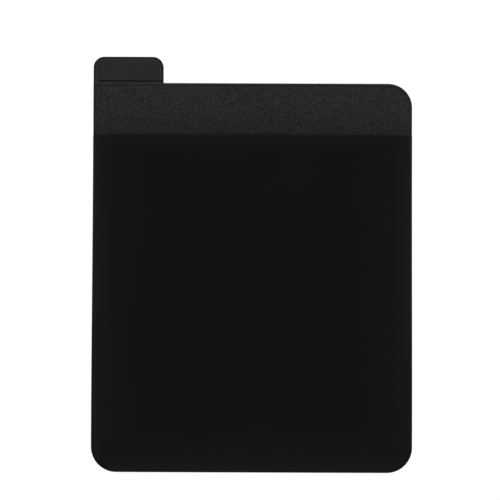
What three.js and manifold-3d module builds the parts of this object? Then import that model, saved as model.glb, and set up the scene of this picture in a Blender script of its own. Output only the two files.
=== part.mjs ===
// Stick-on storage pouch, empty and lying on its back, in millimetres.
// +Z points out of the pocket's front, +Y towards the mouth and the pull tab, and +X to the
// right as seen from the front. The origin is the middle of the box around it, at its base.
//
// A stiff core panel carries a grained facing on its front. A stretch fabric pocket covers the
// facing below a band at the top, wraps round the sides and the bottom edge, and is turned under
// into a rebate in the core's back, where the adhesive pad holds it. A liner covers the adhesive.

import * as THREE from 'three';
import { mergeVertices } from 'three/addons/utils/BufferGeometryUtils.js';
import Module from 'manifold-3d';

// Body, seen from the front
const BODY_WIDTH = 119.3;
const BODY_HEIGHT = 145.2;
const CORNER_RADIUS = 9;
const BAND_HEIGHT = 19.6;

// Layers, from the back to the front
const LINER_THICKNESS = 0.15;
const ADHESIVE_THICKNESS = 0.8;
const CORE_THICKNESS = 1.3;
const FACING_THICKNESS = 0.5;
const FABRIC_THICKNESS = 0.5;

// Liner and adhesive lie inside the body's outline by these distances
const LINER_INSET = 1.2;
const ADHESIVE_INSET = 1.8;

// Pull tab, a thinner tongue of the core at the top left corner
const TAB_WIDTH = 26.2;
const TAB_HEIGHT = 9.8;
const TAB_THICKNESS = 0.8;
const TAB_CORNER_RADIUS = 4;
const TAB_ROOT_OVERLAP = 3;
const TAB_RIM_WIDTH = 1;

// Crease across the tab's root, which lets the tab bend up
const CREASE_WIDTH = 0.45;
const CREASE_DEPTH = 0.3;
const CREASE_LEFT_SETBACK = 2.4;
const CREASE_RIGHT_SETBACK = 0.6;

// Facing: a softened front edge, a pressed line inside it, and a lip over the tab's root
const FACING_EDGE_RADIUS = 0.3;
const FACING_LIP = 0.45;
const LINE_JOG = 0.02;
const RIM_WIDTH = 1.15;
const PRESSED_LINE_WIDTH = 0.5;
const PRESSED_LINE_DEPTH = 0.16;

// Pocket: how high its front stands over the facing, from the mouth to the bottom
const LIP_HEIGHT = 5.3;
const CREST_HEIGHT = 6;
const FOOT_HEIGHT = 4.9;
const CREST_DEPTH = 9;
const CROWN = 0.4;

// Pocket: the run of its rounded sides, and how far it swells past the body further down
const EDGE_RUN = 14;
const FLARE = 0.42;
const FLARE_RUN = 120;

// Pocket: the folded hem at the mouth and the margin turned under the core
const HEM_WIDTH = 6;
const HEM_EXTRA_THICKNESS = 0.4;
const HEM_STEP = 0.8;
const LIP_RADIUS = 0.35;
const MARGIN_WIDTH = 8;
const MARGIN_CORNER_RADIUS = 3;
const WRAP_RADIUS = 0.4;

// Room left between the pocket and the panels it wraps
const SIDE_CLEARANCE = 0.1;
const REBATE_CLEARANCE = 0.3;

// Smoothness of round edges, and how far a cutting shape reaches past what it cuts
const ARC_DIVISIONS = 6;
const EDGE_STEPS = 8;
const FRONT_STEPS = 8;
const LENGTH_STEPS = 9;
const CUT_OVERRUN = 3;

// Heights of the layers
const ADHESIVE_BOTTOM = LINER_THICKNESS;
const CORE_BOTTOM = ADHESIVE_BOTTOM + ADHESIVE_THICKNESS;
const MARGIN_TOP = CORE_BOTTOM + FABRIC_THICKNESS;
const CORE_TOP = CORE_BOTTOM + CORE_THICKNESS;
const FACING_TOP = CORE_TOP + FACING_THICKNESS;

// Places in the plan, with the origin in the middle of the whole outline
const HALF_WIDTH = BODY_WIDTH / 2;
const TAB_TOP = (TAB_HEIGHT + BODY_HEIGHT + FLARE) / 2;
const BODY_TOP = TAB_TOP - TAB_HEIGHT;
const BODY_BOTTOM = BODY_TOP - BODY_HEIGHT;
const MOUTH = BODY_TOP - BAND_HEIGHT;
const TAB_RIGHT = TAB_WIDTH - HALF_WIDTH;
const POCKET_DEPTH = MOUTH - BODY_BOTTOM + FLARE;
const SHOULDER = FABRIC_THICKNESS + SIDE_CLEARANCE;

const wasm = await Module();
wasm.setup();

/** A closed three.js geometry as a solid that can be joined and cut. */
function toSolid(geometry) {
  const bare = geometry.clone();
  bare.deleteAttribute('normal');
  bare.deleteAttribute('uv');
  const merged = mergeVertices(bare);
  return new wasm.Manifold(new wasm.Mesh({
    numProp: 3,
    vertProperties: new Float32Array(merged.attributes.position.array),
    triVerts: new Uint32Array(merged.index.array),
  }));
}

/** A solid as a three.js geometry. */
function toGeometry(solid) {
  const { vertProperties, triVerts } = solid.getMesh();
  const geometry = new THREE.BufferGeometry();
  geometry.setAttribute('position', new THREE.BufferAttribute(new Float32Array(vertProperties), 3));
  geometry.setIndex([...triVerts]);
  geometry.computeVertexNormals();
  return geometry;
}

/** A geometry from a flat list of coordinates and a list of triangle corners. */
function indexedGeometry(coordinates, triangles) {
  const geometry = new THREE.BufferGeometry();
  geometry.setAttribute('position', new THREE.Float32BufferAttribute(coordinates, 3));
  geometry.setIndex(triangles);
  geometry.computeVertexNormals();
  return geometry;
}

/** A corner of an outline, sharp where its radius is left out. */
function corner(x, y, radius = 0) {
  return { x, y, radius };
}

/**
 * Points of a closed outline through the given corners, counter-clockwise, moved inwards by
 * inset. An outer corner's radius shrinks with the inset and an inner corner's grows.
 */
function outlinePoints(corners, inset = 0) {
  const shape = new THREE.Shape();
  corners.forEach(({ x, y, radius }, i) => {
    const before = corners.at(i - 1);
    const after = corners[(i + 1) % corners.length];
    const arrive = new THREE.Vector2(x - before.x, y - before.y).normalize();
    const leave = new THREE.Vector2(after.x - x, after.y - y).normalize();
    const arriveNormal = new THREE.Vector2(-arrive.y, arrive.x);
    const leaveNormal = new THREE.Vector2(-leave.y, leave.x);
    const inwards = arriveNormal.clone().add(leaveNormal);
    inwards.divideScalar(1 + arriveNormal.dot(leaveNormal));

    if (radius === 0) {
      const point = new THREE.Vector2(x, y).addScaledVector(inwards, inset);
      if (i === 0) {
        shape.moveTo(point.x, point.y);
      } else {
        shape.lineTo(point.x, point.y);
      }
      return;
    }
    const side = Math.sign(arrive.cross(leave));
    const centre = new THREE.Vector2(x, y).addScaledVector(inwards, side * radius);
    const start = Math.atan2(-side * arriveNormal.y, -side * arriveNormal.x);
    const end = Math.atan2(-side * leaveNormal.y, -side * leaveNormal.x);
    shape.absarc(centre.x, centre.y, radius - side * inset, start, end, side < 0);
  });
  return shape.getPoints(ARC_DIVISIONS);
}

/**
 * A plate built up from rings, bottom first. Each ring is an outline at its own inset and
 * height, so the walls, softened edges and pressed lines are the strips between rings.
 */
function plate(levels) {
  const rings = levels.map(({ corners, inset, z }) =>
    outlinePoints(corners, inset).map((point) => [point.x, point.y, z]));
  const count = rings[0].length;
  const triangles = [];
  for (let ring = 0; ring < rings.length - 1; ring++) {
    for (let i = 0; i < count; i++) {
      const a = ring * count + i;
      const b = ring * count + (i + 1) % count;
      triangles.push(a, b, b + count, a, b + count, a + count);
    }
  }
  const flat = (ring) => ring.map(([x, y]) => new THREE.Vector2(x, y));
  const last = (rings.length - 1) * count;
  for (const [a, b, c] of THREE.ShapeUtils.triangulateShape(flat(rings[0]), [])) {
    triangles.push(c, b, a);
  }
  for (const [a, b, c] of THREE.ShapeUtils.triangulateShape(flat(rings.at(-1)), [])) {
    triangles.push(last + a, last + b, last + c);
  }
  return indexedGeometry(rings.flat(2), triangles);
}

/** A plate with upright walls between two heights. */
function prism(corners, inset, bottom, top) {
  return plate([{ corners, inset, z: bottom }, { corners, inset, z: top }]);
}

/** Levels that turn an upright wall into a flat top over an edge of the given radius. */
function softEdge(corners, radius, top) {
  return [0, 1, 2, 3].map((step) => {
    const angle = step * Math.PI / 6;
    return {
      corners,
      inset: radius * (1 - Math.cos(angle)),
      z: top - radius * (1 - Math.sin(angle)),
    };
  });
}

/** Levels of a pressed line, a shallow V that runs round a flat top. */
function pressedLine(corners, centre, top) {
  return [
    { corners, inset: centre - PRESSED_LINE_WIDTH / 2, z: top },
    { corners, inset: centre, z: top - PRESSED_LINE_DEPTH },
    { corners, inset: centre + PRESSED_LINE_WIDTH / 2, z: top },
  ];
}

/** Corners of a rectangle between two opposite corners. */
function rectangle(left, bottom, right, top, radius = 0) {
  return [
    corner(left, bottom, radius),
    corner(right, bottom, radius),
    corner(right, top, radius),
    corner(left, top, radius),
  ];
}

/**
 * Outline of the panels: the full width in the band, and stepped in below the mouth by the
 * thickness of the fabric, so that the wrapped fabric lies flush with the band. The lip stands
 * out past the top edge where the tab leaves it.
 */
function panelCorners(lip) {
  const inner = HALF_WIDTH - SHOULDER;
  const bottom = BODY_BOTTOM + SHOULDER;
  const bottomRadius = CORNER_RADIUS - SHOULDER;
  return [
    corner(-inner, bottom, bottomRadius),
    corner(inner, bottom, bottomRadius),
    corner(inner, MOUTH),
    corner(HALF_WIDTH, MOUTH),
    corner(HALF_WIDTH, BODY_TOP, CORNER_RADIUS),
    corner(TAB_RIGHT, BODY_TOP),
    corner(TAB_RIGHT, BODY_TOP + lip),
    corner(-HALF_WIDTH, BODY_TOP + lip),
    corner(-HALF_WIDTH, MOUTH),
    corner(-inner, MOUTH),
  ];
}

/** Outline of the hole that the turned-under margin leaves, open past the mouth. */
function marginWindow() {
  const inner = HALF_WIDTH - MARGIN_WIDTH;
  const bottom = BODY_BOTTOM + MARGIN_WIDTH;
  const top = MOUTH + CUT_OVERRUN;
  return [
    corner(-inner, bottom, MARGIN_CORNER_RADIUS),
    corner(inner, bottom, MARGIN_CORNER_RADIUS),
    corner(inner, top),
    corner(-inner, top),
  ];
}

/** A thin sheet that follows the body's outline at an inset, for the liner and the adhesive. */
function backSheet(inset, bottom, thickness) {
  const outline = rectangle(-HALF_WIDTH, BODY_BOTTOM, HALF_WIDTH, BODY_TOP, CORNER_RADIUS);
  return prism(outline, inset, bottom, bottom + thickness);
}

/** The tab with its pressed rim. Its root reaches in under the facing. */
function tabTongue() {
  const root = BODY_TOP - TAB_ROOT_OVERLAP;
  const outline = [
    corner(-HALF_WIDTH, root),
    corner(TAB_RIGHT, root),
    corner(TAB_RIGHT, TAB_TOP, TAB_CORNER_RADIUS),
    corner(-HALF_WIDTH, TAB_TOP, TAB_CORNER_RADIUS),
  ];
  return plate([
    { corners: outline, inset: 0, z: CORE_TOP - TAB_THICKNESS },
    ...softEdge(outline, FACING_EDGE_RADIUS, CORE_TOP),
    ...pressedLine(outline, TAB_RIM_WIDTH, CORE_TOP),
  ]);
}

/** A V-shaped bar that cuts the crease beside the facing's lip. */
function creaseCutter() {
  const near = BODY_TOP + FACING_LIP;
  const profile = new THREE.Shape([
    new THREE.Vector2(near, CORE_TOP + CREASE_DEPTH),
    new THREE.Vector2(near, CORE_TOP),
    new THREE.Vector2(near + CREASE_WIDTH / 2, CORE_TOP - CREASE_DEPTH),
    new THREE.Vector2(near + CREASE_WIDTH, CORE_TOP),
    new THREE.Vector2(near + CREASE_WIDTH, CORE_TOP + CREASE_DEPTH),
  ]);
  const length = TAB_WIDTH - CREASE_LEFT_SETBACK - CREASE_RIGHT_SETBACK;
  const bar = new THREE.ExtrudeGeometry(profile, { depth: length, bevelEnabled: false });
  // The profile was drawn as (y, z) and pulled along x
  bar.applyMatrix4(new THREE.Matrix4().set(
    0, 0, 1, CREASE_LEFT_SETBACK - HALF_WIDTH,
    1, 0, 0, 0,
    0, 1, 0, 0,
    0, 0, 0, 1,
  ));
  return bar;
}

/** Core panel: full thickness in the band and inside the margin, thinner over the margin. */
function corePanel() {
  const outline = panelCorners(0);
  const bandTop = MOUTH + REBATE_CLEARANCE;
  const rebate = toSolid(prism(
    rectangle(-BODY_WIDTH, BODY_BOTTOM - BODY_WIDTH, BODY_WIDTH, bandTop),
    0, CORE_BOTTOM - CUT_OVERRUN, MARGIN_TOP,
  ));
  const middle = toSolid(prism(
    marginWindow(), REBATE_CLEARANCE, CORE_BOTTOM - 2 * CUT_OVERRUN, CORE_TOP,
  ));
  const slab = toSolid(prism(outline, 0, CORE_BOTTOM, CORE_TOP));
  const stepped = slab.subtract(rebate.subtract(middle));
  return toGeometry(stepped.add(toSolid(tabTongue())).subtract(toSolid(creaseCutter())));
}

/** Facing with its softened edge and pressed line, which runs almost straight past the lip. */
function facingPanel() {
  const edge = panelCorners(FACING_LIP);
  const straight = panelCorners(LINE_JOG);
  return plate([
    { corners: edge, inset: 0, z: CORE_TOP },
    ...softEdge(edge, FACING_EDGE_RADIUS, FACING_TOP),
    ...pressedLine(straight, RIM_WIDTH, FACING_TOP),
  ]);
}

/** Rise over a rounded edge: a quarter ellipse from 0 at the edge to 1 at the end of the run. */
function roundedRise(distance, run) {
  const short = THREE.MathUtils.clamp(1 - distance / run, 0, 1);
  return Math.sqrt(1 - short * short);
}

/** Half the pocket's width at a depth below the mouth, for a surface at an inset. */
function pocketHalfWidth(depth, inset) {
  const radius = CORNER_RADIUS + FLARE - inset;
  const fromBottom = POCKET_DEPTH - inset - depth;
  const swell = FLARE * THREE.MathUtils.smoothstep(depth, 0, FLARE_RUN);
  return HALF_WIDTH + swell - inset - radius * (1 - roundedRise(fromBottom, radius));
}

/** Height of the pocket's front over the facing: up from the lip to a crest, then down. */
function pocketHeight(depth) {
  const rise = Math.sin(Math.PI / 2 * THREE.MathUtils.clamp(depth / CREST_DEPTH, 0, 1));
  const fall = THREE.MathUtils.smoothstep(depth, CREST_DEPTH, POCKET_DEPTH);
  return LIP_HEIGHT + (CREST_HEIGHT - LIP_HEIGHT) * rise - (CREST_HEIGHT - FOOT_HEIGHT) * fall;
}

/** Depths at which the pocket is cut into sections, close together at the lip and bottom. */
function pocketDepths(inset) {
  const end = POCKET_DEPTH - inset;
  const turn = Math.max(EDGE_RUN, CORNER_RADIUS + FLARE) - inset;
  const hemEnd = HEM_WIDTH + HEM_STEP;
  const depths = [0, 1, 2, 3].map((step) => LIP_RADIUS * (1 - Math.cos(step * Math.PI / 6)));
  depths.push(HEM_WIDTH / 2, HEM_WIDTH, hemEnd);
  for (let step = 1; step <= LENGTH_STEPS; step++) {
    depths.push(THREE.MathUtils.lerp(hemEnd, end - turn, step / LENGTH_STEPS));
  }
  for (let step = 1; step <= EDGE_STEPS; step++) {
    depths.push(end - turn + turn * Math.sin(step / EDGE_STEPS * Math.PI / 2));
  }
  return depths;
}

/** Distances across a section from the left edge to the right, close together at the edges. */
function acrossSection(halfWidth, run) {
  const left = [];
  for (let step = 0; step < EDGE_STEPS; step++) {
    left.push(run * (1 - Math.cos(step / EDGE_STEPS * Math.PI / 2)) - halfWidth);
  }
  const flatHalf = halfWidth - run;
  const middle = [];
  for (let step = 0; step <= FRONT_STEPS; step++) {
    middle.push(THREE.MathUtils.lerp(-flatHalf, flatHalf, step / FRONT_STEPS));
  }
  const right = left.map((x) => -x).reverse();
  return [...left, ...middle, ...right];
}

/** Closed solid between an upper and a lower surface on one grid, with walls at its rim. */
function solidBetween(rows) {
  const columns = rows[0].length;
  const total = rows.length * columns;
  const points = rows.flat();
  const coordinates = [
    ...points.flatMap(({ x, y, upper }) => [x, y, upper]),
    ...points.flatMap(({ x, y, lower }) => [x, y, lower]),
  ];
  const at = (row, column) => row * columns + column;
  const triangles = [];
  for (let row = 0; row < rows.length - 1; row++) {
    for (let column = 0; column < columns - 1; column++) {
      const a = at(row, column);
      const b = at(row + 1, column);
      const c = at(row + 1, column + 1);
      const d = at(row, column + 1);
      triangles.push(a, b, c, a, c, d);
      triangles.push(total + a, total + c, total + b, total + a, total + d, total + c);
    }
  }
  const lastRow = rows.length - 1;
  const lastColumn = columns - 1;
  const down = rows.map((_, row) => at(row, 0));
  const along = rows[0].map((_, column) => at(lastRow, column));
  const up = rows.map((_, row) => at(lastRow - row, lastColumn));
  const back = rows[0].map((_, column) => at(0, lastColumn - column));
  for (const edge of [down, along, up, back]) {
    for (let i = 0; i < edge.length - 1; i++) {
      const [from, to] = [edge[i], edge[i + 1]];
      triangles.push(total + from, total + to, to, total + from, to, from);
    }
  }
  return indexedGeometry(coordinates, triangles);
}

/**
 * The pocket's outer form as a closed solid, or, with an inset of the fabric's thickness, the
 * hollow inside it. The hollow is narrowed by the hem and runs out through the mouth.
 */
function pocketForm(isHollow) {
  const inset = isHollow ? FABRIC_THICKNESS : 0;
  const run = EDGE_RUN - inset;
  const depths = pocketDepths(inset);
  const starts = isHollow ? [-CUT_OVERRUN, ...depths] : depths;
  return solidBetween(starts.map((place) => {
    const depth = Math.max(place, 0);
    const halfWidth = pocketHalfWidth(depth, inset);
    const fromBottom = POCKET_DEPTH - inset - depth;
    const pastHem = THREE.MathUtils.smoothstep(depth, HEM_WIDTH, HEM_WIDTH + HEM_STEP);
    const hem = HEM_EXTRA_THICKNESS * (1 - pastHem);
    const lipDrop = LIP_RADIUS * (1 - roundedRise(depth, LIP_RADIUS));
    const height = pocketHeight(depth) - inset + (isHollow ? lipDrop - hem : -lipDrop);
    return acrossSection(halfWidth, run).map((x) => {
      const fromSide = halfWidth - Math.abs(x);
      const crown = CROWN * Math.cos(Math.PI / 2 * x / halfWidth) ** 2;
      const rise = roundedRise(fromSide, run) * roundedRise(fromBottom, run);
      const tuck = roundedRise(fromSide, WRAP_RADIUS) * roundedRise(fromBottom, WRAP_RADIUS);
      return {
        x,
        y: MOUTH - place,
        upper: FACING_TOP + (height + crown) * rise,
        lower: isHollow ? MARGIN_TOP : CORE_BOTTOM + WRAP_RADIUS * (1 - tuck),
      };
    });
  }));
}

/** Pocket: a fabric shell, open at the mouth, with its margin turned under on three sides. */
function pocketFront() {
  const window = prism(marginWindow(), 0, CORE_BOTTOM - CUT_OVERRUN, MARGIN_TOP + SIDE_CLEARANCE);
  const shell = toSolid(pocketForm(false)).subtract(toSolid(pocketForm(true)));
  return toGeometry(shell.subtract(toSolid(window)));
}

/** One named piece of the pouch with its own material. */
function piece(name, geometry, color, roughness) {
  const material = new THREE.MeshStandardMaterial({ color, roughness, metalness: 0 });
  const mesh = new THREE.Mesh(geometry, material);
  mesh.name = name;
  return mesh;
}

const pouch = new THREE.Group();
pouch.add(
  piece('release_liner', backSheet(LINER_INSET, 0, LINER_THICKNESS), 0xe9e8e2, 0.45),
  piece('adhesive_pad', backSheet(ADHESIVE_INSET, ADHESIVE_BOTTOM, ADHESIVE_THICKNESS), 0x26272a, 0.35),
  piece('core_panel', corePanel(), 0x2a2a2a, 0.6),
  piece('facing_panel', facingPanel(), 0x262626, 0.7),
  piece('pocket_front', pocketFront(), 0x131313, 0.85),
);

export default pouch;
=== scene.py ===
"""Stick-on storage pouch: fabric, grain and finishes around the CAD frame, in a plain studio."""

import logging
import math
from dataclasses import dataclass, field
from enum import Enum
from typing import Any, Optional, Sequence, Union

import bpy
import numpy as np
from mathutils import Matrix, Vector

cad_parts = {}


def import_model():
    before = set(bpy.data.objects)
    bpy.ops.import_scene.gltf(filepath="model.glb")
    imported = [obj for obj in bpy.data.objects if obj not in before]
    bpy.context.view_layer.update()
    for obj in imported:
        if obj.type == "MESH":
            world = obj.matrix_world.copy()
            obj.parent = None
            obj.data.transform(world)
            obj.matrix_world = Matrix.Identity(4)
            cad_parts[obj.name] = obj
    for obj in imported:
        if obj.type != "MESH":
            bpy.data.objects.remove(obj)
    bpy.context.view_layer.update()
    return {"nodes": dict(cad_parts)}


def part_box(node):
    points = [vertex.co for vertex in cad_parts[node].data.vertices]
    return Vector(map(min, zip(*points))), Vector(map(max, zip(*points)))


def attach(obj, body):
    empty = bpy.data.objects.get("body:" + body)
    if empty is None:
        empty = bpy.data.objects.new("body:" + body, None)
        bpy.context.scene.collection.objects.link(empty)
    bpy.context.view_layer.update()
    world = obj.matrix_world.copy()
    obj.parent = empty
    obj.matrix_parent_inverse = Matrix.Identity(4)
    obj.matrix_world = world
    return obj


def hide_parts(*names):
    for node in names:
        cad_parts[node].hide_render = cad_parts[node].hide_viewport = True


LOG = logging.getLogger("pouch")
MM = 0.001
ROOT = "root"
FULL_TURN = 2.0 * math.pi
QUARTER_TURN = 0.5 * math.pi

# Multipliers that spread neighbouring cells of a noise far apart
HASH_X, HASH_Y, HASH_SEED, HASH_SCALE = 127.1, 311.7, 74.7, 43758.5453
# Gap between the nearest two cell points, in cells, at which a pebble reaches its full height
PEBBLE_RISE = 0.35

Array = np.ndarray
Socket = bpy.types.NodeSocket
Colour = Union[float, tuple[float, float, float], Socket]


class Slot(Enum):
    """Two material slot names, which the pieces here do not use."""

    GRAINED = "grained_sheet"
    FABRIC = "stretch_fabric"


# Small numeric helpers on whole arrays


def smooth_step(value: Array, low: float, high: float) -> Array:
    """Rise smoothly from 0 at low to 1 at high: 3t squared minus 2t cubed, t held in 0 to 1."""
    t = np.clip((np.asarray(value, float) - low) / (high - low), 0.0, 1.0)
    return t * t * (3.0 - 2.0 * t)


def rounded_rise(distance: Array, run: float) -> Array:
    """Rise over a rounded edge: the square root of 1 minus (1 - distance / run) squared."""
    short = np.clip(1.0 - np.asarray(distance, float) / run, 0.0, 1.0)
    return np.sqrt(1.0 - short * short)


def hash_noise(ix: Array, iy: Array, seed: int) -> Array:
    """Give each whole-number cell a fixed value from 0 to 1: the fraction of a scaled sine."""
    raw = np.sin(ix * HASH_X + iy * HASH_Y + seed * HASH_SEED) * HASH_SCALE
    return raw - np.floor(raw)


def value_noise(x: Array, y: Array, seed: int) -> Array:
    """Blend the fixed values at a cell's four corners, with smooth steps along x and y.

    Args:
        x: First coordinate, one unit per cell.
        y: Second coordinate, one unit per cell.
        seed: Chooses the pattern.

    Returns:
        Smooth noise from -1 to 1.
    """
    ix, iy = np.floor(x), np.floor(y)
    fx, fy = smooth_step(x - ix, 0, 1), smooth_step(y - iy, 0, 1)
    low = hash_noise(ix, iy, seed) * (1 - fx) + hash_noise(ix + 1, iy, seed) * fx
    high = hash_noise(ix, iy + 1, seed) * (1 - fx) + hash_noise(ix + 1, iy + 1, seed) * fx
    return 2.0 * (low * (1 - fy) + high * fy) - 1.0


def pebble_grain(x: Array, y: Array, seed: int) -> Array:
    """Pebbles of an embossed sheet: the gap between the nearest and second nearest cell point.

    Each cell holds one point at a fixed random place. The height is the second nearest
    distance minus the nearest, which is 0 in the creases and highest on the pebbles.

    Args:
        x: First coordinate, one unit per cell.
        y: Second coordinate, one unit per cell.
        seed: Chooses the pattern.

    Returns:
        Height from 0 in a crease to 1 on a pebble.
    """
    ix, iy = np.floor(x), np.floor(y)
    nearest = np.full(np.shape(x), np.inf)
    second = np.full(np.shape(x), np.inf)
    for dx in (-1, 0, 1):
        for dy in (-1, 0, 1):
            cx, cy = ix + dx, iy + dy
            px = cx + hash_noise(cx, cy, seed)
            py = cy + hash_noise(cx, cy, seed + 1)
            distance = np.hypot(px - x, py - y)
            second = np.minimum(second, np.maximum(nearest, distance))
            nearest = np.minimum(nearest, distance)
    return smooth_step(second - nearest, 0.0, PEBBLE_RISE)


# Shader graphs


class Value:
    """A number socket of a shader graph, on which + - * / and ** add Math nodes."""

    def __init__(self, graph: "Graph", socket: Socket) -> None:
        """Wrap the socket that the graph's node gave."""
        self.graph = graph
        self.socket = socket

    def _math(self, operation: str, first: Any, second: Any = None) -> "Value":
        """Add one Math node.

        Args:
            operation: Blender's name of the operation.
            first: A Value or a number.
            second: A Value, a number or nothing.

        Returns:
            The node's result.
        """
        inputs = {0: first} if second is None else {0: first, 1: second}
        node = self.graph.node("ShaderNodeMath", {"operation": operation}, inputs)
        return Value(self.graph, node.outputs[0])

    def __add__(self, other: Any) -> "Value":
        """Add."""
        return self._math("ADD", self, other)

    def __radd__(self, other: Any) -> "Value":
        """Add, with the number first."""
        return self._math("ADD", other, self)

    def __sub__(self, other: Any) -> "Value":
        """Subtract."""
        return self._math("SUBTRACT", self, other)

    def __rsub__(self, other: Any) -> "Value":
        """Subtract from a number."""
        return self._math("SUBTRACT", other, self)

    def __mul__(self, other: Any) -> "Value":
        """Multiply."""
        return self._math("MULTIPLY", self, other)

    def __rmul__(self, other: Any) -> "Value":
        """Multiply, with the number first."""
        return self._math("MULTIPLY", other, self)

    def __pow__(self, other: Any) -> "Value":
        """Raise to a power."""
        return self._math("POWER", self, other)

    def at_least(self, other: Any) -> "Value":
        """Take the larger."""
        return self._math("MAXIMUM", self, other)

    def at_most(self, other: Any) -> "Value":
        """Take the smaller."""
        return self._math("MINIMUM", self, other)

    def absolute(self) -> "Value":
        """Drop the sign."""
        return self._math("ABSOLUTE", self)

    def sine(self) -> "Value":
        """Take the sine of an angle in radians."""
        return self._math("SINE", self)


class Graph:
    """The node tree of one material, or of the world."""

    def __init__(self, name: str, is_world: bool = False) -> None:
        """Start a material or a world with only its output node."""
        kind = bpy.data.worlds if is_world else bpy.data.materials
        self.owner = kind.new(name)
        self.owner.use_nodes = True
        self.tree = self.owner.node_tree
        self.tree.nodes.clear()
        output = "ShaderNodeOutputWorld" if is_world else "ShaderNodeOutputMaterial"
        self.output = self.tree.nodes.new(output)

    def node(self, kind: str, settings: dict[str, Any], inputs: dict[Any, Any]) -> bpy.types.Node:
        """Add any node.

        Args:
            kind: Blender's node type.
            settings: Attributes of the node, set first.
            inputs: Input names or numbers, each with a value, a Value or a socket.

        Returns:
            The new node.
        """
        node = self.tree.nodes.new(kind)
        for key, value in settings.items():
            setattr(node, key, value)
        for key, value in inputs.items():
            if isinstance(value, Value):
                value = value.socket
            if isinstance(value, Socket):
                self.tree.links.new(value, node.inputs[key])
            else:
                node.inputs[key].default_value = value
        return node

    def place(self, turn: float = 0.0) -> Socket:
        """Give object coordinates, turned about z by an angle in radians."""
        source = self.node("ShaderNodeTexCoord", {}, {})
        inputs = {"Vector": source.outputs["Object"], "Rotation": (0, 0, turn)}
        return self.node("ShaderNodeMapping", {}, inputs).outputs[0]

    def split(self, vector: Socket) -> list[Value]:
        """Give the three numbers of a vector."""
        node = self.node("ShaderNodeSeparateXYZ", {}, {0: vector})
        return [Value(self, output) for output in node.outputs]

    def cloth_place(self) -> list[Value]:
        """Give the piece's own UV coordinates, which are metres across and along the cloth."""
        source = self.node("ShaderNodeUVMap", {"uv_map": "cloth"}, {})
        return self.split(source.outputs[0])[:2]

    def noise(self, place: Socket, scale: float, detail: float) -> Value:
        """Add noise of about 0.5 on average, scale cells to the metre."""
        inputs = {"Vector": place, "Scale": scale, "Detail": detail}
        return Value(self, self.node("ShaderNodeTexNoise", {}, inputs).outputs["Fac"])

    def cells(self, place: Socket, scale: float) -> Value:
        """Give the distance to the nearest cell border, scale cells to the metre."""
        settings = {"feature": "DISTANCE_TO_EDGE"}
        inputs = {"Vector": place, "Scale": scale}
        return Value(self, self.node("ShaderNodeTexVoronoi", settings, inputs).outputs["Distance"])

    def attribute(self, name: str) -> Value:
        """Read a number that the mesh holds at each vertex."""
        node = self.node("ShaderNodeAttribute", {"attribute_name": name}, {})
        return Value(self, node.outputs["Fac"])

    def held(self, value: Value, low: float, high: float) -> Value:
        """Map the range from low to high onto 0 to 1, and hold what lies beyond at its ends."""
        inputs = {"Value": value, "From Min": low, "From Max": high}
        return Value(self, self.node("ShaderNodeMapRange", {"clamp": True}, inputs).outputs[0])

    def blend(self, share: Value, low: Colour, high: Colour) -> Socket:
        """Mix two colours by a share from 0 to 1, each a grey, three numbers or a socket."""
        ends = []
        for end in (low, high):
            end = (end, end, end) if isinstance(end, float) else end
            ends.append((*end, 1.0) if isinstance(end, tuple) else end)
        inputs = {0: share, 6: ends[0], 7: ends[1]}
        return self.node("ShaderNodeMix", {"data_type": "RGBA"}, inputs).outputs[2]

    def bump(self, height: Value, strength: float, depth: float) -> Socket:
        """Turn a height from 0 to 1 into a normal, depth being its size in metres."""
        inputs = {"Height": height, "Strength": strength, "Distance": depth}
        return self.node("ShaderNodeBump", {}, inputs).outputs[0]

    def close(self, shader: bpy.types.Node) -> bpy.types.ID:
        """Send a shader to the output and give the material or world."""
        self.tree.links.new(shader.outputs[0], self.output.inputs[0])
        return self.owner

    def surface(self, inputs: dict[str, Any]) -> bpy.types.Material:
        """Close the graph with a Principled shader and give its material."""
        return self.close(self.node("ShaderNodeBsdfPrincipled", {}, inputs))


# Finishes


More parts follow.
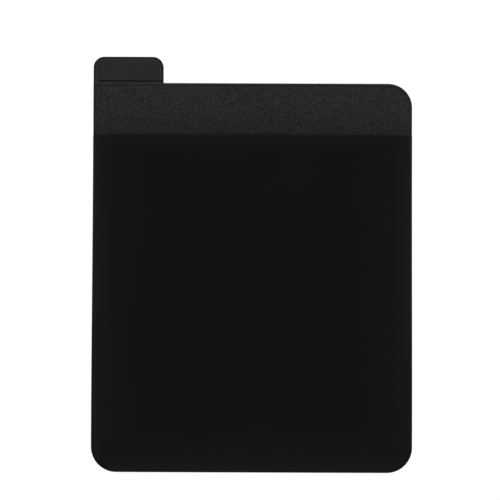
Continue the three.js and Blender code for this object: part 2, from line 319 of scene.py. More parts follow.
@dataclass(frozen=True)
class SmoothSheet:
    """Smooth matte sheet of the core, with its tab's rim black outside, a painted highlight line
    within and painted shade in the crease at the facing's edge.
    """

    tab_left: float
    tab_right: float
    tab_top: float
    crease_middle: float
    crease_left: float
    tab_radius: float = 4.0 * MM
    tab_length: float = 30.0 * MM
    # Black of the rim, also used for the painted shade in the crease at the facing's edge.
    edge: float = 0.0012
    dark: float = 0.0096
    light: float = 0.0130
    # The bead colour and the settings below paint a highlight line a little inside the tab's
    # outline, where its bevel would catch the top light.
    bead: float = 0.0185
    highlight_share: float = 0.55
    highlight_inset: float = 1.1 * MM
    highlight_reach: float = 0.42 * MM
    highlight_fade: float = 0.2 * MM
    rim_black: float = 0.4 * MM
    rim_end: float = 0.85 * MM
    # Painted shade in the crease: full across this half width, gone by the next, and faded out
    # past the crease's left end.
    crease_shade_full: float = 0.16 * MM
    crease_shade_end: float = 0.3 * MM
    crease_shade_fade: float = 0.4 * MM
    mottle_per_metre: float = 160.0
    tooth_per_metre: float = 3600.0
    tooth_depth: float = 0.03 * MM

    def inset(self, x: Value, y: Value) -> Value:
        """Distance inwards from the tab's outline, a rounded box that runs on under the facing.

        Along each axis, take how far the place is past the rounding's centre. Where both are
        positive the distance is that pair's length, otherwise the larger one; it is taken from
        the radius.

        Args:
            x: Place across the tab.
            y: Place along the tab.

        Returns:
            Distance in metres, positive inside.
        """
        middle = 0.5 * (self.tab_left + self.tab_right)
        half_width = 0.5 * (self.tab_right - self.tab_left) - self.tab_radius
        half_length = 0.5 * self.tab_length - self.tab_radius
        past_x = (x - middle).absolute() - half_width
        past_y = (y - (self.tab_top - 0.5 * self.tab_length)).absolute() - half_length
        corner = (past_x.at_least(0.0) ** 2.0 + past_y.at_least(0.0) ** 2.0) ** 0.5
        return self.tab_radius - (corner + past_x.at_least(past_y).at_most(0.0))

    def material(self) -> bpy.types.Material:
        """Build the material: a faint mottle, a satin gloss and a very fine tooth."""
        graph = Graph("smooth_sheet")
        place = graph.place()
        mottle = graph.held(graph.noise(place, self.mottle_per_metre, 3.0), 0.3, 0.7)
        tooth = graph.noise(place, self.tooth_per_metre, 2.0)
        x, y, _ = graph.split(place)
        inset = self.inset(x, y)
        # Painted highlight: a pale line along the tab, a little inside its outline.
        from_highlight = (inset - self.highlight_inset).absolute()
        bead = graph.held(self.highlight_reach - from_highlight, 0.0, self.highlight_fade)
        inside = graph.held(inset, self.rim_black, self.rim_end)
        # Painted shade: the crease where the tab meets the facing's edge takes the black edge
        # colour.
        from_crease = (y - self.crease_middle).absolute()
        outside_crease_shade = graph.held(from_crease, self.crease_shade_full, self.crease_shade_end)
        past_crease_shade = graph.held(self.crease_left - x, 0.0, self.crease_shade_fade)
        on_face = inside * outside_crease_shade.at_least(past_crease_shade)
        face = graph.blend(mottle, self.dark, self.light)
        highlighted = graph.blend(self.highlight_share * bead, face, self.bead)
        return graph.surface({
            "Base Color": graph.blend(on_face, self.edge, highlighted),
            "Roughness": 0.56 + 0.1 * mottle,
            "Specular IOR Level": 0.14,
            "Normal": graph.bump(tooth, 0.35, self.tooth_depth),
        })


@dataclass(frozen=True)
class GrainedSheet:
    """Embossed leatherette of the facing, with painted shade in its pressed line and along its
    side edges, and black at its cut edge.
    """

    # Black of the cut edge, also of the painted shade in the pressed line and along the side
    # edges.
    edge: float = 0.0012
    crease: float = 0.0008
    pebble: float = 0.0128
    fleck: float = 0.0191
    grain_per_metre: float = 2200.0
    grain_depth: float = 0.03 * MM
    speckle_per_grain: float = 0.6

    def material(self) -> bpy.types.Material:
        """Build the material from the mesh's own relief, with finer grain as bump."""
        graph = Graph("grained_sheet")
        place = graph.place()
        relief = graph.attribute("relief")
        fine = graph.held(graph.cells(place, self.grain_per_metre), 0.0, 0.22)
        speckles = graph.noise(place, self.grain_per_metre * self.speckle_per_grain, 3.0)
        speckle = graph.held(speckles, 0.45, 0.65)
        grain = graph.blend(relief, self.crease, self.pebble)
        flecked = graph.blend(speckle * relief, grain, self.fleck)
        return graph.surface({
            "Base Color": graph.blend(graph.attribute("shade"), flecked, self.edge),
            "Roughness": 0.72 - 0.14 * relief,
            "Specular IOR Level": 0.15,
            "Normal": graph.bump(fine, 0.6, self.grain_depth),
        })


@dataclass(frozen=True)
class StretchKnit:
    """Fine warp knit of the pocket, paler towards its edges, partly as the cloth is drawn thin
    there and partly as painted sheen, with a painted highlight at the mouth and painted shade in
    the corner folds and at its very rim.
    """

    dark: float = 0.0017
    light: float = 0.0034
    # Paler tone of the cloth drawn thin at the edges. The same tone paints sheen there and a
    # highlight at the mouth.
    drawn: float = 0.0044
    # Black of the painted shade at the very rim, where the cloth turns down over the edge.
    rim: float = 0.0003
    wale: float = 0.42 * MM
    course: float = 0.36 * MM
    lean: float = 0.9
    loop_depth: float = 0.05 * MM
    fuzz_per_metre: float = 1500.0
    broad_per_metre: float = 28.0

    def material(self) -> bpy.types.Material:
        """Build the material: rows of loops along the cloth's own coordinates."""
        graph = Graph("stretch_knit")
        across, along = graph.cloth_place()
        courses = (along * (FULL_TURN / self.course)).sine()
        wales = (across * (FULL_TURN / self.wale) + courses * self.lean).sine()
        loops = graph.held(0.6 * wales.absolute() + 0.4 * courses.absolute(), 0.1, 0.95)
        place = graph.place()
        fuzz = graph.noise(place, self.fuzz_per_metre, 3.0)
        broad = graph.held(graph.noise(place, self.broad_per_metre, 2.0), 0.3, 0.7)
        share = graph.held(0.55 * loops + 0.25 * fuzz + 0.2 * broad, 0.1, 0.9)
        relaxed = graph.blend(share, self.dark, self.light)
        # Paler tone at the edges and the mouth: partly drawn cloth, partly painted sheen and
        # highlight.
        cloth = graph.blend(graph.attribute("drawn"), relaxed, self.drawn)
        return graph.surface({
            # Painted shade at the very rim.
            "Base Color": graph.blend(graph.attribute("rim"), cloth, self.rim),
            "Roughness": 0.6 + 0.1 * fuzz,
            "Specular IOR Level": 0.05,
            "Normal": graph.bump(0.7 * loops + 0.3 * fuzz, 0.3, self.loop_depth),
        })


@dataclass(frozen=True)
class AdhesiveGel:
    """Soft reusable adhesive, smooth and a little shiny."""

    dark: float = 0.008
    light: float = 0.014
    ripple_per_metre: float = 240.0
    ripple_depth: float = 0.05 * MM

    def material(self) -> bpy.types.Material:
        """Build the material: a soft ripple and a satin shine."""
        graph = Graph("adhesive_gel")
        ripple = graph.noise(graph.place(), self.ripple_per_metre, 2.0)
        return graph.surface({
            "Base Color": graph.blend(ripple, self.dark, self.light),
            "Roughness": 0.22 + 0.16 * ripple,
            "Specular IOR Level": 0.45,
            "Normal": graph.bump(ripple, 0.2, self.ripple_depth),
        })


@dataclass(frozen=True)
class ReleaseFilm:
    """Milky peel-off film with a faint embossed diamond net."""

    low: tuple[float, float, float] = (0.70, 0.70, 0.67)
    high: tuple[float, float, float] = (0.80, 0.79, 0.76)
    pitch: float = 3.0 * MM
    line_share: float = 0.16
    line_depth: float = 0.06 * MM
    slants: tuple[float, float] = (math.radians(45), math.radians(-45))
    cloud_per_metre: float = 60.0

    def material(self) -> bpy.types.Material:
        """Build the material: two sets of slanting lines, pressed in."""
        graph = Graph("release_film")
        heights = []
        for slant in self.slants:
            along = graph.split(graph.place(slant))[0]
            line = (along * (math.pi / self.pitch)).sine().absolute()
            heights.append(graph.held(line, 0.0, self.line_share))
        net = heights[0] * heights[1]
        cloud = graph.held(graph.noise(graph.place(), self.cloud_per_metre, 3.0), 0.3, 0.7)
        return graph.surface({
            "Base Color": graph.blend(0.5 * net + 0.5 * cloud, self.low, self.high),
            "Roughness": 0.3 + 0.1 * cloud,
            "Specular IOR Level": 0.5,
            "Normal": graph.bump(net, 0.5, self.line_depth),
        })


# Meshes


def add_mesh(
    name: str,
    points: Array,
    faces: Sequence[Sequence[int]],
    material: bpy.types.Material,
    values: Optional[dict[str, Array]] = None,
    cloth: Optional[Array] = None,
) -> bpy.types.Object:
    """Put a mesh at the origin with its place in its points.

    Args:
        name: Name of the piece.
        points: Points, one row each, in metres.
        faces: Corners of each face, counter-clockwise from outside.
        material: Its finish.
        values: Numbers at each point, by attribute name.
        cloth: Place of each point along the cloth, in metres.

    Returns:
        The linked object, shaded smooth.
    """
    mesh = bpy.data.meshes.new(name)
    mesh.from_pydata(np.asarray(points, float).tolist(), [], [list(map(int, f)) for f in faces])
    for key, numbers in (values or {}).items():
        layer = mesh.attributes.new(key, "FLOAT", "POINT")
        layer.data.foreach_set("value", np.asarray(numbers, np.float32))
    if cloth is not None:
        corner = np.zeros(len(mesh.loops), np.int32)
        mesh.loops.foreach_get("vertex_index", corner)
        layer = mesh.uv_layers.new(name="cloth")
        layer.data.foreach_set("uv", np.asarray(cloth, np.float32)[corner].ravel())
    mesh.materials.append(material)
    mesh.polygons.foreach_set("use_smooth", np.ones(len(mesh.polygons), bool))
    mesh.update()
    piece = bpy.data.objects.new(name, mesh)
    bpy.context.scene.collection.objects.link(piece)
    return piece


def grid_faces(index: Array) -> Array:
    """Quads of a grid of point numbers, seen with its rows going down and its columns right."""
    quads = np.stack([index[:-1, :-1], index[1:, :-1], index[1:, 1:], index[:-1, 1:]], axis=-1)
    return quads.reshape(-1, 4)


def open_edges(faces: Array) -> Array:
    """Edges that only one quad uses, each in that quad's own direction."""
    directed = np.concatenate([faces[:, [i, (i + 1) % 4]] for i in range(4)])
    _, place, uses = np.unique(
        np.sort(directed, axis=1), axis=0, return_index=True, return_counts=True
    )
    return directed[place[uses == 1]]


def closed_shell(outer: Array, inner: Array, faces: Array) -> tuple[Array, Array]:
    """Close two sheets of the same grid into one shell: outer, inner turned round, and a rim.

    Args:
        outer: Points of the outer sheet.
        inner: Points of the inner sheet, in the same order.
        faces: Quads of the sheet, counter-clockwise from outside.

    Returns:
        The shell's points and quads.
    """
    count = len(outer)
    rim = open_edges(faces)
    sides = np.stack([rim[:, 1], rim[:, 0], rim[:, 0] + count, rim[:, 1] + count], axis=1)
    return np.concatenate([outer, inner]), np.concatenate([faces, faces[:, ::-1] + count, sides])


@dataclass
class Plan:
    """Sizes and places of the pouch, from the frame, in metres."""

    corner_radius: float = 9.0 * MM
    lip_over_tab: float = 0.45 * MM
    fabric: float = 0.5 * MM
    side_clearance: float = 0.1 * MM
    tab_width: float = 26.2 * MM
    half_width: float = field(init=False)
    body_top: float = field(init=False)
    tab_right: float = field(init=False)
    tab_top: float = field(init=False)
    mouth: float = field(init=False)
    flare: float = field(init=False)
    body_bottom: float = field(init=False)
    core_bottom: float = field(init=False)
    core_top: float = field(init=False)
    facing_top: float = field(init=False)
    pocket_depth: float = field(init=False)

    def __post_init__(self) -> None:
        """Read the boxes of the CAD nodes."""
        facing_low, facing_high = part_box("facing_panel")
        pocket_low, pocket_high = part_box("pocket_front")
        core_low, core_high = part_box("core_panel")
        self.half_width = facing_high[0]
        self.body_top = facing_high[1] - self.lip_over_tab
        self.tab_right = self.tab_width - self.half_width
        self.tab_top = core_high[1]
        self.mouth = pocket_high[1]
        self.flare = pocket_high[0] - facing_high[0]
        self.body_bottom = pocket_low[1] + self.flare
        self.core_bottom = core_low[2]
        self.core_top = facing_low[2]
        self.facing_top = facing_high[2]
        self.pocket_depth = self.mouth - pocket_low[1]


@dataclass(frozen=True)
class Slack:
    """One size of smooth wave in the loose cloth."""

    height: float
    pitch: tuple[float, float]
    shift: tuple[float, float]
    seed: int

    def wave(self, x: Array, depth: Array) -> Array:
        """Give the wave's height: smooth noise, one cell to the pitch across and down."""
        across = x / self.pitch[0] + self.shift[0]
        down = depth / self.pitch[1] + self.shift[1]
        return self.height * value_noise(across, down, self.seed)


@dataclass
class Pocket:
    """The stretch-fabric pocket: one shell, hemmed at the mouth and wrapped round the panels."""

    plan: Plan
    lip_height: float = 5.3 * MM
    crest_height: float = 6.0 * MM
    foot_height: float = 4.9 * MM
    crest_depth: float = 5.5 * MM
    crown: float = 0.4 * MM
    edge_run: float = 14.0 * MM
    flare_run: float = 120.0 * MM
    hem_width: float = 6.0 * MM
    hem_extra: float = 0.4 * MM
    hem_step: float = 0.8 * MM
    lip_radius: float = 0.42 * MM
    margin_width: float = 8.0 * MM
    wrap_radius: float = 0.4 * MM
    inner_radius: float = 0.06 * MM
    broad_slack: Slack = Slack(0.11 * MM, (31 * MM, 37 * MM), (7.3, 2.1), 3)
    small_slack: Slack = Slack(0.035 * MM, (11 * MM, 13 * MM), (1.7, 5.9), 5)
    slack_run: float = 6.0 * MM
    # Paler tone towards the edges, partly drawn cloth and partly painted sheen: its run, its power
    # and its rise from the outline.
    drawn_and_sheen_run: float = 24.0 * MM
    drawn_and_sheen_power: float = 1.3
    drawn_and_sheen_rise: float = 1.6 * MM
    # Painted highlight along the mouth, where the hem faces the top light: its run, share and
    # power.
    mouth_highlight_run: float = 5.5 * MM
    mouth_highlight_share: float = 0.35
    mouth_highlight_power: float = 1.5
    # Painted shade at the rim: how far in from the outline it reaches.
    rim_shade_run: float = 1.5 * MM
    pleat_turns: float = 34.0
    pleat_push: float = 0.05 * MM
    pleat_drop: float = 0.17 * MM
    pleat_reach: float = 4.4 * MM
    pleat_full: float = 1.6 * MM
    pleat_rise: float = 1.0 * MM
    pleat_start: tuple[float, float] = (0.05, 0.4)
    pleat_end: tuple[float, float] = (1.17, 1.52)
    # Painted shade in the valleys of the corner folds, and painted light on their ridges.
    fold_shade_and_light: float = 0.9
    edge_steps: int = 44
    middle_columns: int = 90
    length_rows: int = 80
    lip_rows: int = 7
    hem_rows: int = 13
    margin_steps: int = 7
    wall_steps: int = 4
    turn_steps: int = 6

    def half_width(self, depth: Array, inset: float) -> Array:
        """Half the width at a depth: the body's, plus the flare, less the corner's arc."""
        radius = self.plan.corner_radius + self.plan.flare - inset
        from_bottom = self.plan.pocket_depth - inset - depth
        swell = self.plan.flare * smooth_step(depth, 0, self.flare_run)
        cut = radius * (1 - rounded_rise(from_bottom, radius))
        return self.plan.half_width + swell - inset - cut

    def height(self, depth: Array) -> Array:
        """Height over the facing: a quarter sine from the lip to the crest, then a slow fall."""
        rise = np.sin(QUARTER_TURN * np.clip(depth / self.crest_depth, 0, 1))
        fall = smooth_step(depth, self.crest_depth, self.plan.pocket_depth)
        return (
            self.lip_height
            + (self.crest_height - self.lip_height) * rise
            - (self.crest_height - self.foot_height) * fall
        )

    def depths(self, inset: float) -> Array:
        """Depths of the rows, close together at the lip, the hem's end and the bottom."""
        end = self.plan.pocket_depth - inset
        turn = max(self.edge_run, self.plan.corner_radius + self.plan.flare) - inset
        lip = self.lip_radius * (1 - np.cos(np.linspace(0, QUARTER_TURN, self.lip_rows)))
        hem = np.linspace(self.lip_radius, self.hem_width + self.hem_step, self.hem_rows)[1:]
        length = np.linspace(hem[-1], end - turn, self.length_rows + 1)[1:]
        bottom = end - turn + turn * np.sin(np.linspace(0, QUARTER_TURN, self.edge_steps + 1)[1:])
        return np.concatenate([lip, hem, length, bottom])

    def across(self, half_width: Array, run: float) -> Array:
        """Places across each row, by quarter-cosine steps at the edges and even steps between."""
        steps = np.linspace(0, QUARTER_TURN, self.edge_steps + 1)[:-1]
        side = run * (1 - np.cos(steps))[None, :] - half_width[:, None]
        middle = np.linspace(-1, 1, self.middle_columns + 1)[None, :] * (half_width[:, None] - run)
        return np.concatenate([side, middle, -side[:, ::-1]], axis=1)

    def softness(self, x: Array, depth: Array, rise: Array) -> Array:
        """Slack of the cloth: two sizes of smooth noise, strongest where nothing holds it."""
        waves = self.broad_slack.wave(x, depth) + self.small_slack.wave(x, depth)
        return waves * rise * smooth_step(depth, 0, self.slack_run)

    def front(self, is_inner: bool) -> Array:
        """Front of one sheet as rows from the mouth to the bottom.

        Height over the facing is the row's height plus a crown, a cosine squared across, times
        a quarter ellipse from each side and from the bottom.

        Args:
            is_inner: Whether this is the inner sheet, which the fabric and the hem inset.

        Returns:
            Points as rows by columns by three.
        """
        plan = self.plan
        inset = plan.fabric if is_inner else 0.0
        run = self.edge_run - inset
        depth = self.depths(inset)
        half = self.half_width(depth, inset)
        x = self.across(half, run)
        row = depth[:, None]
        drop = self.lip_radius * (1 - rounded_rise(row, self.lip_radius))
        hem_end = self.hem_width + self.hem_step
        hem = self.hem_extra * (1 - smooth_step(row, self.hem_width, hem_end))
        height = self.height(row) - inset + ((drop - hem) if is_inner else -drop)
        crown = self.crown * np.cos(QUARTER_TURN * x / half[:, None]) ** 2
        from_bottom = np.clip(plan.pocket_depth - inset - row, 0, None)
        rise = rounded_rise(half[:, None] - np.abs(x), run) * rounded_rise(from_bottom, run)
        z = plan.facing_top + (height + crown) * rise + self.softness(x, row, rise)
        return np.stack([x, plan.mouth - row + 0 * x, z], axis=-1)

    def wrap(self, rim: Array, is_inner: bool) -> Array:
        """Carry the wrap's profile round the rim: down, round the edge, and in under the core.

        Args:
            rim: The front's outline from the mouth's left end round to its right end.
            is_inner: Whether this is the inner sheet.

        Returns:
            Points as profile steps by rim points by three.
        """
        plan = self.plan
        along = np.gradient(rim[:, :2], axis=0)
        along /= np.linalg.norm(along, axis=1, keepdims=True)
        outwards = np.stack([along[:, 1], -along[:, 0]], axis=-1)
        outwards[0] = (-1.0, 0.0)
        outwards[-1] = (1.0, 0.0)
        base = plan.core_bottom + (plan.fabric if is_inner else 0.0)
        radius = self.inner_radius if is_inner else self.wrap_radius
        margin = self.margin_width + plan.flare - (plan.fabric if is_inner else 0.0)
        turn = np.linspace(0, QUARTER_TURN, self.turn_steps)
        walls = np.linspace(plan.facing_top, base + radius, self.wall_steps)[1:]
        under = np.linspace(radius, margin, self.margin_steps + 1)[1:]
        inwards = np.concatenate([0 * walls, radius * (1 - np.cos(turn[1:])), under])
        heights = np.concatenate([walls, base + radius * (1 - np.sin(turn[1:])), 0 * under + base])
        places = rim[None, :, :2] - inwards[:, None, None] * outwards[None]
        z = np.broadcast_to(heights[:, None, None], (*places.shape[:2], 1))
        return np.concatenate([places, z], axis=-1)

    def pleats(self, points: Array) -> tuple[Array, Array, Array]:
        """Small folds where the cloth is drawn round each bottom corner.

        The depth is 1 minus a cosine of the angle about the corner's centre, faded at both
        ends of the arc and over a few millimetres from the outline.

        Args:
            points: Points as rows of three.

        Returns:
            Depth of the fold at each point, from 0 to 2, how far inside a corner's arc the
            point is, from 0 to 1, and the outward direction at the corner, as rows of two.
        """
        plan = self.plan
        radius = plan.corner_radius + plan.flare
        side = np.sign(points[:, 0])
        centre_x = plan.half_width - plan.corner_radius
        dx = np.abs(points[:, 0]) - centre_x
        dy = plan.body_bottom + plan.corner_radius - points[:, 1]
        distance = np.hypot(dx, dy)
        angle = np.arctan2(dy, dx)
        along = smooth_step(angle, *self.pleat_start) * (1 - smooth_step(angle, *self.pleat_end))
        near = smooth_step(distance, radius - self.pleat_reach, radius - self.pleat_full)
        uneven = 0.7 + 0.3 * np.sin(angle * 9.0 + side)
        depth = (1 - np.cos(angle * self.pleat_turns + 0.6 * side)) * along * near * uneven
        return depth, along * near, np.stack([side * np.cos(angle), -np.sin(angle)], axis=-1)

    def gathers(self, points: Array) -> Array:
        """Push the points of each fold down and inwards, and give the moved points."""
        depth, _, outwards = self.pleats(points)
        top = self.plan.facing_top
        moved = points.copy()
        moved[:, :2] -= self.pleat_push * depth[:, None] * outwards
        on_front = smooth_step(points[:, 2], top, top + self.pleat_rise)
        moved[:, 2] -= self.pleat_drop * depth * on_front
        return moved

    def sheet(self, is_inner: bool) -> tuple[Array, Array]:
        """One sheet, front and wrap together.

        Args:
            is_inner: Whether this is the inner sheet.

        Returns:
            Its points, and its quads seen from outside.
        """
        front = self.front(is_inner)
        rows, columns, _ = front.shape
        index = np.arange(rows * columns).reshape(rows, columns)
        rim = np.concatenate([index[:, 0], index[-1, 1:-1], index[::-1, -1]])
        flat = front.reshape(-1, 3)
        wrap = self.wrap(flat[rim], is_inner)
        steps, count, _ = wrap.shape
        wrapped = rows * columns + np.arange(steps * count).reshape(steps, count)
        layers = np.concatenate([rim[None], wrapped])
        points = self.gathers(np.concatenate([flat, wrap.reshape(-1, 3)]))
        return points, np.concatenate([grid_faces(index), grid_faces(layers)])

    def cloth_places(self, points: Array) -> Array:
        """Place of each point along the cloth, by lengths along its rows and columns."""
        rows = len(self.depths(0.0))
        columns = 2 * self.edge_steps + self.middle_columns + 1
        front = points[: rows * columns].reshape(rows, columns, 3)
        across = np.linalg.norm(np.diff(front, axis=1), axis=2)
        across = np.concatenate([np.zeros((rows, 1)), np.cumsum(across, axis=1)], axis=1)
        across -= across[:, columns // 2][:, None]
        down = np.linalg.norm(np.diff(front, axis=0), axis=2)
        down = np.concatenate([np.zeros((1, columns)), np.cumsum(down, axis=0)], axis=0)
        places = np.zeros((len(points), 2))
        places[: rows * columns, 0] = across.ravel()
        places[: rows * columns, 1] = -down.ravel()
        rest = points[rows * columns:]
        reach = self.plan.facing_top - rest[:, 2]
        places[rows * columns:, 0] = rest[:, 0] + np.sign(rest[:, 0]) * reach
        places[rows * columns:, 1] = rest[:, 1] - self.plan.mouth - reach
        return places

    def insets(self, points: Array) -> tuple[Array, Array]:
        """Distance of each point inwards from the pocket's sides, and from its bottom."""
        plan = self.plan
        side = plan.half_width + plan.flare - np.abs(points[:, 0])
        return side, points[:, 1] - (plan.body_bottom - plan.flare)

    def rim(self, points: Array) -> Array:
        """Share of the painted shade at the rim: how near each point is to the outline, its round
        corners too, 1 there and 0 well inside.
        """
        side, foot = self.insets(points)
        radius = self.plan.corner_radius + self.plan.flare
        dx, dy = radius - side, radius - foot
        in_corner = (dx > 0) & (dy > 0)
        inset = np.where(in_corner, radius - np.hypot(dx, dy), np.minimum(side, foot))
        return 1 - smooth_step(inset, 0.3 * self.rim_shade_run, self.rim_shade_run)

    def drawn(self, points: Array) -> Array:
        """Share of the paler tone: the cloth drawn thin over the edges, with painted sheen there,
        and a painted highlight along the mouth.

        From each edge the tone falls as a power of what is left of the run, and it rises over
        a millimetre or two from the outline itself. Painted shade darkens it in the valleys of the
        corner folds, and painted light lifts it on their ridges.

        Args:
            points: Points as rows of three.

        Returns:
            Share of the paler tone, with its painted sheen and highlight, about 1 near an edge and
            0 well inside.
        """
        inset = np.minimum(*self.insets(points))
        edge = np.clip(1 - inset / self.drawn_and_sheen_run, 0, 1) ** self.drawn_and_sheen_power
        edge *= smooth_step(inset, 0, self.drawn_and_sheen_rise)
        # Painted highlight along the mouth.
        from_mouth = self.plan.mouth - points[:, 1]
        lip = self.mouth_highlight_share * np.clip(1 - from_mouth / self.mouth_highlight_run, 0, 1) ** self.mouth_highlight_power
        # Painted shade in the fold valleys and painted light on the fold ridges of the corners.
        depth, in_corner, _ = self.pleats(points)
        return np.maximum(edge, lip) * (1 + self.fold_shade_and_light * (in_corner - depth))

    def build(self) -> None:
        """Make the shell, attach it to the root and hide the CAD pocket."""
        outer, faces = self.sheet(False)
        inner, _ = self.sheet(True)
        points, quads = closed_shell(outer, inner, faces)
        cloth = np.concatenate([self.cloth_places(outer), self.cloth_places(inner)])
        # The drawn values hold the paler tone with its painted sheen and highlight. The rim values
        # hold the painted shade at the outline.
        values = {"drawn": self.drawn(points), "rim": self.rim(points)}
        piece = add_mesh("pocket_fabric", points, quads, StretchKnit().material(), values, cloth)
        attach(piece, ROOT)
        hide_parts("pocket_front")
        LOG.info("pocket_fabric: %d quads", len(quads))


@dataclass
class Facing:
    """The grained sheet: a relief on a grid, with a softened edge and a pressed line."""

    plan: Plan
    edge_radius: float = 0.32 * MM
    rim_width: float = 1.15 * MM
    rim_tone: float = 0.6
    bead_drop: float = 0.12 * MM
    line_width: float = 0.45 * MM
    line_depth: float = 0.15 * MM
    pebble: float = 1.0 * MM
    small_pebble: float = 0.45 * MM
    patch: float = 4.2 * MM
    rib: float = 0.85 * MM
    rib_bend: float = 2.2
    relief: float = 0.045 * MM
    lip_run: float = 0.9 * MM
    lip_end: float = 0.1 * MM
    # Painted shade along the side edges: full within the first distance, gone by the second.
    side_shade_full: float = 0.4 * MM
    side_shade_end: float = 0.95 * MM
    step_height: float = 0.02 * MM
    columns: int = 440
    corner_rows: int = 30
    band_rows: int = 46
    grained_depth: float = 22.0 * MM
    grained_rows: int = 80
    hidden_rows: int = 10
    foot_rows: int = 10

    def rows(self) -> Array:
        """Heights of the rows in y, from the top edge down, close together at the corner."""
        plan = self.plan
        turn = np.linspace(0, QUARTER_TURN, self.corner_rows)
        corner = plan.body_top - plan.corner_radius * (1 - np.cos(turn))
        band = np.linspace(corner[-1], plan.mouth, self.band_rows)[1:]
        step = np.array([plan.mouth - self.step_height])
        radius = plan.corner_radius
        low = plan.body_bottom + self.shoulder
        grained_end = plan.mouth - self.grained_depth
        grained = np.linspace(plan.mouth, grained_end, self.grained_rows)[1:]
        hidden = np.linspace(grained_end, low + radius, self.hidden_rows)[1:]
        foot = low + radius * (1 - np.sin(np.linspace(0, QUARTER_TURN, self.foot_rows)[1:]))
        return np.concatenate([corner, band, step, grained, hidden, foot])

    @property
    def shoulder(self) -> float:
        """How far the sheet steps in below the mouth, for the wrapped fabric."""
        return self.plan.fabric + self.plan.side_clearance

    def ends(self, y: Array) -> tuple[Array, Array]:
        """Left and right end of each row: straight sides, less each rounded corner's arc."""
        plan = self.plan
        step = np.where(y < plan.mouth - 0.5 * self.step_height, self.shoulder, 0.0)
        half = plan.half_width - step
        radius = plan.corner_radius
        top = radius * (1 - rounded_rise(plan.body_top - y, radius))
        low = plan.body_bottom + self.shoulder
        foot = radius * (1 - rounded_rise(y - low, radius))
        return -half + foot, half - foot - top

    def past_corner(self, x: Array, y: Array) -> tuple[Array, Array]:
        """How far right of and above the centre of the band's rounded corner each place is."""
        plan = self.plan
        radius = plan.corner_radius
        return x - (plan.half_width - radius), y - (plan.body_top - radius)

    def inset(self, x: Array, y: Array) -> Array:
        """Distance from the band's outline inwards, round its one rounded corner too."""
        plan = self.plan
        from_side = np.minimum(x + plan.half_width, plan.half_width - x)
        straight = np.minimum(from_side, plan.body_top - y)
        dx, dy = self.past_corner(x, y)
        in_corner = (dx > 0) & (dy > 0)
        return np.where(in_corner, plan.corner_radius - np.hypot(dx, dy), straight)

    def sideways(self, x: Array, y: Array) -> Array:
        """How far the nearest outline faces sideways: 0 along the top, 1 along the sides."""
        plan = self.plan
        dx, dy = self.past_corner(x, y)
        in_corner = (dx > 0) & (dy > 0)
        turn = np.arctan2(np.maximum(dx, 0), np.maximum(dy, 1e-9))
        from_side = np.minimum(x + plan.half_width, plan.half_width - x)
        nearer_side = (from_side < plan.body_top - y).astype(float)
        return np.where(in_corner, smooth_step(turn, 0.15, 0.6), nearer_side)

    def grain(self, x: Array, y: Array) -> Array:
        """Grain of the sheet: two sizes of pebbles mixed with a weave.

        The weave's ribs run along x in some patches and along y in the others, each a sine
        bent by noise.

        Args:
            x: Places across.
            y: Places along.

        Returns:
            Height from 0 in a crease to 1 on a pebble.
        """
        large = pebble_grain(x / self.pebble, y / self.pebble, 11)
        small = pebble_grain(x / self.small_pebble + 3, y / self.small_pebble + 8, 23)
        patch = 0.5 + 0.5 * value_noise(x / self.patch, y / self.patch, 31)
        turn = FULL_TURN / self.rib
        ribs = 0.5 + 0.5 * np.sin(turn * y + self.rib_bend * value_noise(x / MM, y / MM, 41))
        posts = 0.5 + 0.5 * np.sin(turn * x + self.rib_bend * value_noise(x / MM, y / MM, 43))
        weave = patch * ribs + (1 - patch) * posts
        return smooth_step(0.35 * large + 0.15 * small + 0.5 * weave, 0.3, 0.66)

    def face(self, x: Array, y: Array) -> tuple[Array, Array, Array]:
        """Height, relief and painted shade of the sheet's front.

        The height is the panel's, less a rounded edge, a soft bevel and the pressed line, plus
        the grain. The grain ends at the rim and deep inside the pocket.

        Args:
            x: Places across.
            y: Places along.

        Returns:
            Height in metres, relief from 0 to 1, and how strong the painted shade is, from 0 to 1.
        """
        plan = self.plan
        inset = self.inset(x, y)
        in_rim = 1 - smooth_step(inset, 0.7 * self.rim_width, self.rim_width)
        from_mouth = plan.mouth - y
        deep = smooth_step(from_mouth, 0.6 * self.grained_depth, 0.95 * self.grained_depth)
        plain = np.maximum(in_rim, deep)
        relief = self.grain(x, y) * (1 - plain) + self.rim_tone * plain
        edge = self.edge_radius * (1 - rounded_rise(inset, self.edge_radius))
        bead = self.bead_drop * (1 - smooth_step(inset, 0, 0.75 * self.rim_width))
        line = np.exp(-(((inset - self.rim_width) / (0.5 * self.line_width)) ** 2))
        z = plan.facing_top - edge - bead - self.line_depth * line
        z += self.relief * (relief - self.rim_tone)
        # Painted shade: the pressed line is darkened, less so where the outline faces sideways,
        # and the outline is darkened along the sides only, as if lit from the top.
        sideways = self.sideways(x, y)
        outline = 1 - smooth_step(inset, self.side_shade_full, self.side_shade_end)
        black = np.maximum(0.9 * line * (1 - 0.8 * sideways), outline * sideways)
        return z, relief, black

    def build(self) -> None:
        """Make the sheet: relief on top, a wall round it and one face beneath."""
        plan = self.plan
        y_rows = self.rows()
        left, right = self.ends(y_rows)
        share = np.linspace(0, 1, self.columns + 1)[None, :]
        x = left[:, None] + (right - left)[:, None] * share
        y = y_rows[:, None] + 0 * x
        z, relief, black = self.face(x, y)
        end = plan.tab_right
        on_tab = 1 - smooth_step(x, end - self.lip_end, end + self.lip_end)
        rise = smooth_step(y, plan.body_top - self.lip_run, plan.body_top)
        top = np.stack([x, y + plan.lip_over_tab * on_tab * rise, z], axis=-1)

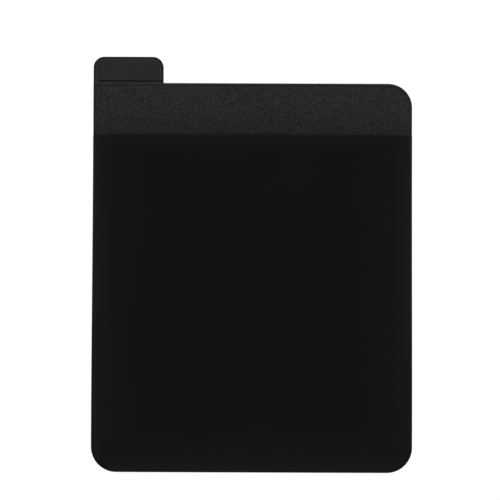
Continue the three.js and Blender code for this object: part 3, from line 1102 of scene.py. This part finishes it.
        rows, columns = x.shape
        index = np.arange(rows * columns).reshape(rows, columns)
        loop = np.concatenate([index[:, 0], index[-1, 1:], index[-2::-1, -1], index[0, -2:0:-1]])
        flat = top.reshape(-1, 3)
        foot = flat[loop].copy()
        foot[:, 2] = plan.core_top
        start, count = len(flat), len(loop)
        here = np.arange(count)
        after = (here + 1) % count
        walls = np.stack([start + here, start + after, loop[after], loop[here]], axis=1)
        faces = [*grid_faces(index), *walls, start + here[::-1]]
        values = {
            "relief": np.concatenate([relief.ravel(), np.full(count, 0.5)]),
            "shade": np.concatenate([black.ravel(), np.ones(count)]),
        }
        points = np.concatenate([flat, foot])
        piece = add_mesh("facing_sheet", points, faces, GrainedSheet().material(), values)
        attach(piece, ROOT)
        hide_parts("facing_panel")
        LOG.info("facing_sheet: %d faces", len(faces))


@dataclass
class Panels:
    """The core, the adhesive and the liner, whose CAD shapes stay as they are."""

    plan: Plan
    crease_width: float = 0.45 * MM
    crease_setback: float = 2.4 * MM

    def dress(self, nodes: dict[str, bpy.types.Object]) -> None:
        """Give each CAD node its finish."""
        plan = self.plan
        finishes = {
            "core_panel": SmoothSheet(
                tab_left=-plan.half_width,
                tab_right=plan.tab_right,
                tab_top=plan.tab_top,
                crease_middle=plan.body_top + plan.lip_over_tab + 0.5 * self.crease_width,
                crease_left=self.crease_setback - plan.half_width,
            ),
            "adhesive_pad": AdhesiveGel(),
            "release_liner": ReleaseFilm(),
        }
        for name, finish in finishes.items():
            slots = nodes[name].data.materials
            slots.clear()
            slots.append(finish.material())
            LOG.info("%s: dressed", name)


# Studio


@dataclass(frozen=True)
class SoftBox:
    """A square lamp that faces the pouch."""

    name: str
    place: tuple[float, float, float]
    size: float
    power: float

    def build(self) -> None:
        """Add the lamp, turned towards the pouch."""
        data = bpy.data.lights.new(self.name, "AREA")
        data.shape = "SQUARE"
        data.size = self.size
        data.energy = self.power
        lamp = bpy.data.objects.new(self.name, data)
        lamp.location = self.place
        x, y, z = self.place
        lamp.rotation_euler = (math.atan2(math.hypot(x, y), z), 0.0, math.atan2(x, -y))
        bpy.context.scene.collection.objects.link(lamp)


@dataclass
class Studio:
    """A pale floor, soft lights on all sides and a camera straight above, as in the photo."""

    plan: Plan
    soft_boxes: tuple[SoftBox, ...] = (
        SoftBox("light_top", (0.0, 0.95, 0.75), 0.7, 9.0),
        SoftBox("light_left", (-0.95, 0.1, 0.6), 0.6, 4.0),
        SoftBox("light_right", (0.95, 0.1, 0.6), 0.6, 4.0),
        SoftBox("light_bottom", (0.0, -0.95, 0.6), 0.6, 4.5),
    )
    pixels: int = 500
    metres_per_pixel: float = 0.3744 * MM
    centre_pixel: tuple[float, float] = (252.2, 264.7)
    roll: float = math.radians(0.22)
    camera_height: float = 0.5
    overhead_level: float = 0.12
    overhead_rise: float = 0.97
    side_level: float = 0.6
    side_rise: float = 0.6
    sensor: float = 36.0
    floor_reach: float = 3.0
    floor_height: float = 0.02 * MM
    floor_tone: float = 0.86
    floor_glow: float = 1.08
    glow_share: float = 0.85

    def camera(self) -> None:
        """Place the camera over the pixel at the middle of the photo's frame."""
        half = self.pixels / 2
        aim_x = (half - self.centre_pixel[0]) * self.metres_per_pixel
        aim_y = (self.centre_pixel[1] - half) * self.metres_per_pixel
        data = bpy.data.cameras.new("camera")
        data.sensor_width = self.sensor
        data.lens = self.sensor * self.camera_height / (self.pixels * self.metres_per_pixel)
        camera = bpy.data.objects.new("camera", data)
        camera.location = (aim_x, aim_y, self.plan.core_top + self.camera_height)
        camera.rotation_euler = (0.0, 0.0, self.roll)
        bpy.context.scene.collection.objects.link(camera)
        bpy.context.scene.camera = camera

    def floor(self) -> None:
        """Lay a white floor that keeps the soft shadow, a hair above the liner's back face."""
        graph = Graph("floor")
        colour = (self.floor_tone, self.floor_tone, self.floor_tone, 1.0)
        matte = graph.node("ShaderNodeBsdfDiffuse", {}, {"Color": colour})
        glow = graph.node(
            "ShaderNodeEmission", {}, {"Color": (1, 1, 1, 1), "Strength": self.floor_glow}
        )
        path = graph.node("ShaderNodeLightPath", {}, {})
        seen = Value(graph, path.outputs["Is Camera Ray"]) * self.glow_share
        mix = graph.node(
            "ShaderNodeMixShader", {}, {0: seen, 1: matte.outputs[0], 2: glow.outputs[0]}
        )
        reach = self.floor_reach
        corners = ((-reach, reach), (-reach, -reach), (reach, -reach), (reach, reach))
        points = np.array([(x, y, self.floor_height) for x, y in corners])
        floor = add_mesh("floor", points, [(0, 1, 2, 3)], graph.close(mix))

    def world(self) -> None:
        """Fill the surroundings with light that is dimmer overhead than low down."""
        graph = Graph("studio", is_world=True)
        source = graph.node("ShaderNodeTexCoord", {}, {})
        rise = graph.split(source.outputs["Generated"])[2]
        low = graph.held(rise, self.overhead_rise, self.side_rise)
        level = self.overhead_level + (self.side_level - self.overhead_level) * low
        fill = graph.node("ShaderNodeBackground", {}, {"Strength": level})
        white = graph.node("ShaderNodeBackground", {}, {"Color": (1, 1, 1, 1)})
        path = graph.node("ShaderNodeLightPath", {}, {})
        mix = graph.node(
            "ShaderNodeMixShader", {},
            {0: path.outputs["Is Camera Ray"], 1: fill.outputs[0], 2: white.outputs[0]},
        )
        bpy.context.scene.world = graph.close(mix)

    def build(self) -> None:
        """Set up floor, lights, world and camera."""
        self.floor()
        for box in self.soft_boxes:
            box.build()
        self.world()
        bpy.context.scene.view_settings.view_transform = "Standard"
        self.camera()
        LOG.info("studio: floor, world, lights and camera")


def main() -> None:
    """Build the pouch's pieces in order, then the studio."""
    logging.basicConfig(level=logging.INFO, format="%(name)s: %(message)s")
    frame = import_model()
    plan = Plan()
    Panels(plan).dress(frame["nodes"])
    Facing(plan).build()
    Pocket(plan).build()
    Studio(plan).build()


if __name__ == "__main__":
    main()
